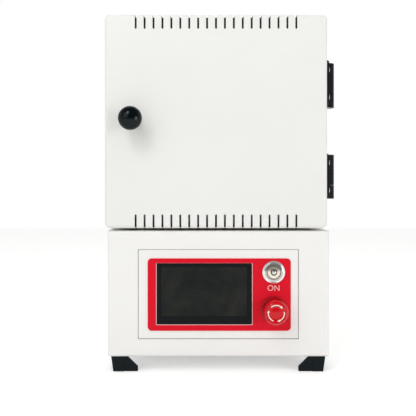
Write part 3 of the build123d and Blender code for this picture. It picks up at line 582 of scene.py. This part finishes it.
def lathe(profile, segments):
    """Turned mesh about Z from (radius, height) pairs; a radius of 0 is a single point."""
    work = bmesh.new()
    rings = []
    for radius, height in profile:
        ring = circle(radius, segments) if radius else [(0, 0)]
        rings.append([work.verts.new((x, y, height)) for x, y in ring])
    for lower, upper in zip(rings, rings[1:]):
        for i in range(segments):
            j = (i + 1) % segments
            corners = [lower[i % len(lower)], lower[j % len(lower)],
                       upper[j % len(upper)], upper[i % len(upper)]]
            unique = list(dict.fromkeys(corners))
            if len(unique) > 2:
                work.faces.new(unique)
    bmesh.ops.recalc_face_normals(work, faces=work.faces)
    mesh = bpy.data.meshes.new("turned")
    work.to_mesh(mesh)
    work.free()
    smooth(mesh)
    return mesh


def cross_recess(width, length):
    half, reach = width / 2, length / 2
    arm = ((half, half), (half, reach), (-half, reach))
    outline = []
    for _ in range(4):
        outline += arm
        arm = tuple((-y, x) for x, y in arm)
    return outline


def screw_head(radius):
    """Pan head with a cross recess, seated at z = 0."""
    height, edge = 0.55 * radius, 0.14 * radius
    recess = cross_recess(0.26 * radius, 1.15 * radius)
    rim = flat_outline([circle(radius - edge), recess], height, edge)
    floor_radius, floor_height = 0.8 * radius, 0.35 * height
    profile = [(0, 0), (floor_radius, 0), (floor_radius, floor_height), (0, floor_height)]
    floor = lathe(profile, 24)
    return joined([(rim, Matrix.Translation((0, 0, height / 2))), (floor, Matrix.Identity(4))])


def add_screws(name, body, radius, direction, places):
    """Screw heads on one face, each turned a different way."""
    head = screw_head(radius)
    turns = [(head, facing(direction, place, 0.5 + 1.3 * i)) for i, place in enumerate(places)]
    add_piece(name, joined(turns), EXTRA["zinc_screw"], body)


# ================================================================ door
def slot_shade_strip():
    """Dark strip of painted shade across the pan under its top flange, so that the slots look into
    the dark.
    """
    sheet, gap, depth, height = 1.2 * MM, 0.6 * MM, 9.0 * MM, 22.0 * MM
    corner, thickness, edge = 5.0 * MM, 1.0 * MM, 0.2 * MM
    low = (DOOR_LOW.x + sheet, DOOR_HIGH.z - sheet - gap - height)
    high = (DOOR_HIGH.x - sheet, DOOR_HIGH.z - sheet - gap)
    outline = rounded_rectangle(low, high, corner)
    mesh = moved(flat_outline([outline], thickness, edge), (0, DOOR_LOW.y + depth, 0))
    add_piece("slot_shade_strip", mesh, EXTRA["painted_shade_fibre"], "door")


slot_shade_strip()


# ================================================================ control panel
def glass_rim():
    """Pale rim round the glass, thin along its top: a painted highlight for the lit cut edge of the
    window, whose top edge lies in shade.
    """
    rim, top_rim, corner, inner_corner = 0.55 * MM, 0.05 * MM, 0.6 * MM, 0.2 * MM
    thickness, edge, proud = 0.12 * MM, 0.03 * MM, 0.05 * MM
    low, high = (GLASS_LOW.x, GLASS_LOW.z), (GLASS_HIGH.x, GLASS_HIGH.z)
    outer = rounded_rectangle((low[0] - rim, low[1] - rim), (high[0] + rim, high[1] + top_rim),
                              corner)
    inner = rounded_rectangle(low, high, inner_corner)
    mesh = moved(flat_outline([outer, inner], thickness, edge), (0, FACE_Y - proud, 0))
    add_piece("glass_rim_highlight", mesh, EXTRA["rim_highlight"], "furnace")


def screen_area():
    """The display's active area, which shows faintly through the glass."""
    left, right, bottom, top = 5.3 * MM, 6.0 * MM, 9.6 * MM, 4.4 * MM
    corner, thickness, edge, proud = 0.5 * MM, 0.06 * MM, 0.01 * MM, 0.02 * MM
    outline = rounded_rectangle((GLASS_LOW.x + left, GLASS_LOW.z + bottom),
                                (GLASS_HIGH.x - right, GLASS_HIGH.z - top), corner)
    mesh = moved(flat_outline([outline], thickness, edge), (0, GLASS_LOW.y - proud, 0))
    add_piece("screen_active_area", mesh, EXTRA["screen"], "furnace")


def stop_arrows():
    """Three curved arrows moulded round the crown of the stop head, pointing clockwise."""
    centre = middle("estop_head")
    radius, half, head = 8.7 * MM, 0.42 * MM, 1.3 * MM
    first, sweep, point, steps = math.radians(129), math.radians(-74), math.radians(-17), 14
    thickness, edge, depth = 0.5 * MM, 0.1 * MM, 0.35 * MM
    parts = []
    for k in range(3):
        start = first - math.radians(120) * k
        angles = [start + sweep * i / steps for i in range(steps + 1)]
        end = angles[-1]
        outline = [on_circle(radius + half, angle) for angle in angles]
        outline += [on_circle(radius + head, end), on_circle(radius, end + point),
                    on_circle(radius - head, end)]
        outline += [on_circle(radius - half, angle) for angle in reversed(angles)]
        parts.append((flat_outline([outline], thickness, edge), Matrix.Identity(4)))
    mesh = moved(joined(parts), (centre.x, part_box("estop_head")[0].y + depth, centre.z))
    add_piece("estop_arrows", mesh, EXTRA["printed_cream"], "estop_mushroom")


def start_word():
    """Plain ON mark printed under the start button."""
    drop, proud = 8.2 * MM, 0.02 * MM
    text = bpy.data.curves.new("on_mark", "FONT")
    text.body = "ON"
    text.size = 9.0 * MM
    text.align_x = "CENTER"
    text.extrude = 0.03 * MM
    text.offset = -0.06 * MM
    mesh = moved(mesh_of(text), (-TO_START_AXIS[0], FACE_Y - proud, BEZEL_LOW.z - drop))
    add_piece("start_mark", mesh, EXTRA["printed_pink"], "furnace")


glass_rim()
screen_area()
stop_arrows()
start_word()


# ================================================================ heating coils
def serpentine(side):
    """Centre line of one coil as (point, tangent) pairs from its lower to its upper lead.

    Also gives how far back the winding goes; behind that, the leads are straight.
    """
    low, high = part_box(f"heating_element_{side}")
    runs, radius, step = 6, 8.0 * MM, 0.9 * MM
    rod, rear_gap = 3.0 * MM, 15.0 * MM
    x = (low.x + high.x) / 2
    front = low.y + rod + radius
    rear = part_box("muffle_rear")[0].y - rear_gap
    line = []
    for i in range(runs):
        z = low.z + rod + 2 * radius * i
        far = high.y if i in (0, runs - 1) else rear
        start, end = (far, front) if i % 2 == 0 else (front, far)
        count = int(abs(end - start) / step)
        way = 1 if end > start else -1
        for k in range(count):
            y = start + (end - start) * k / count
            line.append((Vector((x, y, z)), Vector((0, way, 0))))
        if i == runs - 1:
            break
        turns = int(math.pi * radius / step)
        for k in range(turns):
            sine, cosine = math.sin(math.pi * k / turns), math.cos(math.pi * k / turns)
            point = Vector((x, end + way * radius * sine, z + radius * (1 - cosine)))
            line.append((point, Vector((0, way * cosine, sine))))
    return line, rear + radius


def add_coil(side):
    """Wound resistance wire that follows the groove, with twisted leads through the rear board."""
    winding, twist, wire = 2.45 * MM, 0.3 * MM, 0.45 * MM
    per_step, turns_per_step, lead_in = 6, 0.36, 6.0 * MM
    line, winding_end = serpentine(side)
    across = Vector((1, 0, 0))
    points = []
    phase = 0.0
    for (here, way), (there, next_way) in zip(line, line[1:]):
        for k in range(per_step):
            centre = here.lerp(there, k / per_step)
            up = way.lerp(next_way, k / per_step).normalized().cross(across)
            reach = winding if centre.y < winding_end + lead_in else twist
            points.append(centre + reach * (math.cos(phase) * across + math.sin(phase) * up))
            phase += 2 * math.pi * turns_per_step / per_step
    curve = bpy.data.curves.new("coil", "CURVE")
    curve.dimensions = "3D"
    curve.bevel_depth = wire
    curve.bevel_resolution = 1
    spline = curve.splines.new("POLY")
    spline.points.add(len(points) - 1)
    for point, place in zip(spline.points, points):
        point.co = (*place, 1.0)
    mesh = mesh_of(curve)
    smooth(mesh)
    piece = add_piece(f"coil_{side}", mesh, LOOKS["heater_alloy"], "furnace")
    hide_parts(f"heating_element_{side}")


add_coil("right")
add_coil("left")


# ================================================================ fasteners
HINGE_SCREW, SHEET_SCREW, FRAME_SCREW, SMALL_SCREW, STRIKE_SCREW = (
    3.4 * MM, 3.0 * MM, 2.4 * MM, 2.6 * MM, 1.3 * MM)  # radii of the heads
FORWARD, BACK = (0, -1, 0), (0, 1, 0)


def corner_places(low, high, y, inset_x, inset_z):
    """Four places near the corners of a box, on the plane y."""
    return [(x, y, z) for x in (low.x + inset_x, high.x - inset_x)
            for z in (low.z + inset_z, high.z - inset_z)]


def square_places(y, reach):
    """Four places round the chamber's axis, on the plane y."""
    return [(CHAMBER_X + dx, y, CHAMBER_Z + dz) for dx in (-reach, reach)
            for dz in (-reach, reach)]


def hinge_screws(level):
    leaf_face, inset, end_inset = DOOR_HIGH.x + 5.3 * MM, 9.0 * MM, 10.0 * MM
    for side, body in (("casing", "furnace"), ("door", "door")):
        low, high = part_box(f"hinge_leaf_{side}_{level}")
        y = high.y - inset if side == "casing" else low.y + inset
        places = [(leaf_face, y, z) for z in (low.z + end_inset, high.z - end_inset)]
        add_screws(f"hinge_screws_{side}_{level}", body, HINGE_SCREW, (1, 0, 0), places)


def rear_screws():
    """Screws of both rear covers, of the fan and of the inlet."""
    inset, low_inset, top_spread = 6.0 * MM, 12.0 * MM, 45.0 * MM
    y = WRAP_HIGH.y
    places = corner_places(WRAP_LOW, WRAP_HIGH, y, inset, low_inset)
    half_way = (WRAP_LOW.z + WRAP_HIGH.z) / 2
    places += [(x, y, half_way) for x in (WRAP_LOW.x + inset, WRAP_HIGH.x - inset)]
    places += [(CHAMBER_X + dx, y, WRAP_HIGH.z - inset) for dx in (-top_spread, top_spread)]
    add_screws("rear_rim_screws", "furnace", SHEET_SCREW, BACK, places)
    places = corner_places(*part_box("lower_rear_panel"), REAR_Y, inset, 8.0 * MM)
    add_screws("lower_rear_screws", "furnace", SHEET_SCREW, BACK, places)
    places = corner_places(*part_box("fan_frame"), REAR_Y, 5.0 * MM, 5.0 * MM)
    add_screws("fan_screws", "furnace", SMALL_SCREW, BACK, places)
    low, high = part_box("power_inlet")
    places = [(x, high.y, (low.z + high.z) / 2) for x in (low.x + 5.0 * MM, high.x - 5.0 * MM)]
    add_screws("inlet_screws", "furnace", SMALL_SCREW, BACK, places)


def side_screws():
    """Screws along the upper edges of the lower case, which hold the upper casing down."""
    from_front, below_top = (50.0 * MM, 210.0 * MM), 9.0 * MM
    for side, x, way in (("left", CASE_LOW.x, -1), ("right", CASE_HIGH.x, 1)):
        places = [(x, WRAP_LOW.y + dy, CASE_HIGH.z - below_top) for dy in from_front]
        add_screws(f"side_screws_{side}", "furnace", SHEET_SCREW, (way, 0, 0), places)


def door_inside_screws():
    places = square_places(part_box("door_inner_plate")[1].y, 88.0 * MM)
    add_screws("inner_plate_screws", "door", SHEET_SCREW, BACK, places)
    sink, inset = 0.9 * MM, 6.0 * MM
    low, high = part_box("catch_strike")
    places = [((low.x + high.x) / 2, high.y - sink, z) for z in (low.z + inset, high.z - inset)]
    add_screws("strike_screws", "door", STRIKE_SCREW, BACK, places)


def frame_screws():
    places = square_places(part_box("front_frame")[0].y, 85.0 * MM)
    add_screws("front_frame_screws", "furnace", FRAME_SCREW, FORWARD, places)


hinge_screws("lower")
hinge_screws("upper")
rear_screws()
side_screws()
door_inside_screws()
frame_screws()


# ================================================================ rear marks and blades
def rocker_marks():
    """Ring and line on the two sloping halves of the rocker, for off and on."""
    thickness, bar_x, bar_z = 0.1 * MM, 0.35 * MM, 2.2 * MM
    ring = flat_outline([circle(2.1 * MM), circle(1.5 * MM)], thickness)
    bar = flat_outline([rounded_rectangle((-bar_x, -bar_z), (bar_x, bar_z), 0.2 * MM)], thickness)
    switch = middle("switch_body")
    pivot = Matrix.Translation((switch.x, REAR_Y - 1.0 * MM, switch.z))
    tilt = Matrix.Rotation(math.radians(10.0), 4, "Z")  # the rocker rests half of its 20° aside
    slope = math.atan2(1.8, 11.2)  # of each half of the rocker's face
    parts = []
    for mesh, way in ((bar, -1), (ring, 1)):
        place = Matrix.Translation((way * 6.4 * MM, 3.47 * MM, 0))
        turn = Matrix.Rotation(way * slope, 4, "Z")
        parts.append((mesh, pivot @ tilt @ place @ turn @ BACKWARD))
    add_piece("rocker_marks", joined(parts), EXTRA["white_mark"], "mains_rocker")


def inlet_blades():
    """Three bright blades in the inlet's socket."""
    half_x, half_z, corner, length, edge = 1.1 * MM, 2.1 * MM, 0.3 * MM, 14.0 * MM, 0.3 * MM
    inlet, y = middle("power_inlet"), REAR_Y - 6.6 * MM
    outline = rounded_rectangle((-half_x, -half_z), (half_x, half_z), corner)
    parts = []
    for dx, dz in ((-7, -2), (0, 2), (7, -2)):
        place = Matrix.Translation((inlet.x + dx * MM, y, inlet.z + dz * MM))
        parts.append((flat_outline([outline], length, edge), place @ BACKWARD))
    add_piece("inlet_blades", joined(parts), EXTRA["brass"], "furnace")


rocker_marks()
inlet_blades()


# ================================================================ studio
def floor_material():
    """Pale floor: the camera sees it nearly white, with the object's soft shadow kept."""
    look = Look("studio_floor", Specular_IOR_Level=0.1)
    look.colour(look.tint(look.noise(3.0, 3.0), (0.9, 0.9, 0.9), (0.92, 0.92, 0.92)))
    look.rough(look.levels(look.noise(20.0, 3.0), 0.8, 0.9))
    lift = 0.4  # share of white added for the eye, for gloss and for glass
    rays = look.new("LightPath").outputs
    shown = look.math("MAXIMUM", rays["Is Camera Ray"], rays["Is Glossy Ray"])
    shown = look.math("MAXIMUM", shown, rays["Is Transmission Ray"])
    strength = look.math("MULTIPLY", shown, lift)
    glow = look.new("Emission", {"Color": (1, 1, 1, 1), "Strength": strength})
    mix = look.new("AddShader", {0: look.bsdf.outputs["BSDF"], 1: glow.outputs["Emission"]})
    look.tree.links.new(mix.outputs["Shader"], look.tree.nodes["Material Output"].inputs["Surface"])
    return look.material


def add_floor():
    half_side = 3.0
    work = bmesh.new()
    bmesh.ops.create_grid(work, x_segments=8, y_segments=8, size=half_side)
    mesh = bpy.data.meshes.new("floor")
    work.to_mesh(mesh)
    work.free()
    floor = bpy.data.objects.new("floor", mesh)
    bpy.context.scene.collection.objects.link(floor)
    mesh.materials.append(floor_material())


def add_world():
    """White for the camera, a soft fill for the object, and a room for its gloss.

    Glossy rays see that room dim in front and above, and pale all round.
    """
    world = bpy.data.worlds.new("studio")
    bpy.context.scene.world = world
    world.use_nodes = True
    tree = world.node_tree
    tree.nodes.clear()

    def new(kind, inputs=None, **settings):
        return add_node(tree, kind, inputs, **settings).outputs

    rays = new("LightPath")
    direction = new("TexCoord")["Generated"]
    towards = new("VectorMath", {0: direction, 1: (0.0, -0.8, 0.6)}, operation="DOT_PRODUCT")
    room = new("MapRange", {"Value": towards["Value"], "From Min": 0.25, "From Max": 0.7,
                            "To Min": 0.85, "To Max": 0.06})["Result"]
    fill = new("Background", {"Color": (1.0, 1.0, 0.99, 1), "Strength": 0.6})["Background"]
    gloss = new("Background", {"Color": (1, 1, 1, 1), "Strength": room})["Background"]
    white = new("Background", {"Color": (1, 1, 1, 1), "Strength": 1.0})["Background"]
    lit = new("MixShader", {0: rays["Is Glossy Ray"], 1: fill, 2: gloss})["Shader"]
    seen = new("Math", {0: rays["Is Camera Ray"], 1: rays["Is Transmission Ray"]},
               operation="MAXIMUM")["Value"]
    shown = new("MixShader", {0: seen, 1: lit, 2: white})["Shader"]
    new("OutputWorld", {"Surface": shown})


def add_lamp(name, place, target, size, power):
    """Rectangular soft lamp at a place, aimed at a target, with its power in watts."""
    lamp = bpy.data.lights.new(name, "AREA")
    lamp.shape = "RECTANGLE"
    lamp.size, lamp.size_y = size
    lamp.energy = power
    holder = bpy.data.objects.new(name, lamp)
    holder.location = place
    holder.rotation_euler = (Vector(target) - Vector(place)).to_track_quat("-Z", "Y").to_euler()
    bpy.context.scene.collection.objects.link(holder)


def add_camera():
    """Level camera straight in front, a little left of the middle, with its frame shifted."""
    lens_distance = 0.68  # from the lens to the door's face
    door_pixel = 1.12 * MM  # size of one pixel of the 416 pixel frame on that face
    frame_pixels = 416
    vanishing = (205.0, 197.0)  # where lines that run straight back meet, in pixels
    door_left, door_top = 104.4, 14.0  # the door's edges in the frame, in pixels
    camera = bpy.data.cameras.new("camera")
    camera.sensor_width = 36.0
    camera.lens = camera.sensor_width * lens_distance / (door_pixel * frame_pixels)
    camera.shift_x = (frame_pixels / 2 - vanishing[0]) / frame_pixels
    camera.shift_y = (vanishing[1] - frame_pixels / 2) / frame_pixels
    holder = bpy.data.objects.new("camera", camera)
    x = DOOR_LOW.x + (vanishing[0] - door_left) * door_pixel
    z = DOOR_HIGH.z - (vanishing[1] - door_top) * door_pixel
    holder.location = (x, DOOR_LOW.y - lens_distance, z)
    holder.rotation_euler = (math.radians(90), 0, 0)
    bpy.context.scene.collection.objects.link(holder)
    bpy.context.scene.camera = holder


add_floor()
add_world()
add_lamp("key", (-0.9, -1.3, 0.8), (0, -0.1, 0.2), (0.9, 0.9), 3.5)
add_lamp("glint", (-0.38, -0.85, 0.95), (0, -0.1, 0.2), (0.3, 0.3), 1.9)
add_lamp("fill", (1.1, -1.2, 0.12), (0, -0.1, 0.08), (0.5, 0.9), 6.8)
add_lamp("top", (0.0, 0.3, 1.8), (0, 0.0, 0.2), (1.2, 1.2), 2.5)
add_camera()
bpy.context.scene.view_settings.view_transform = "Standard"
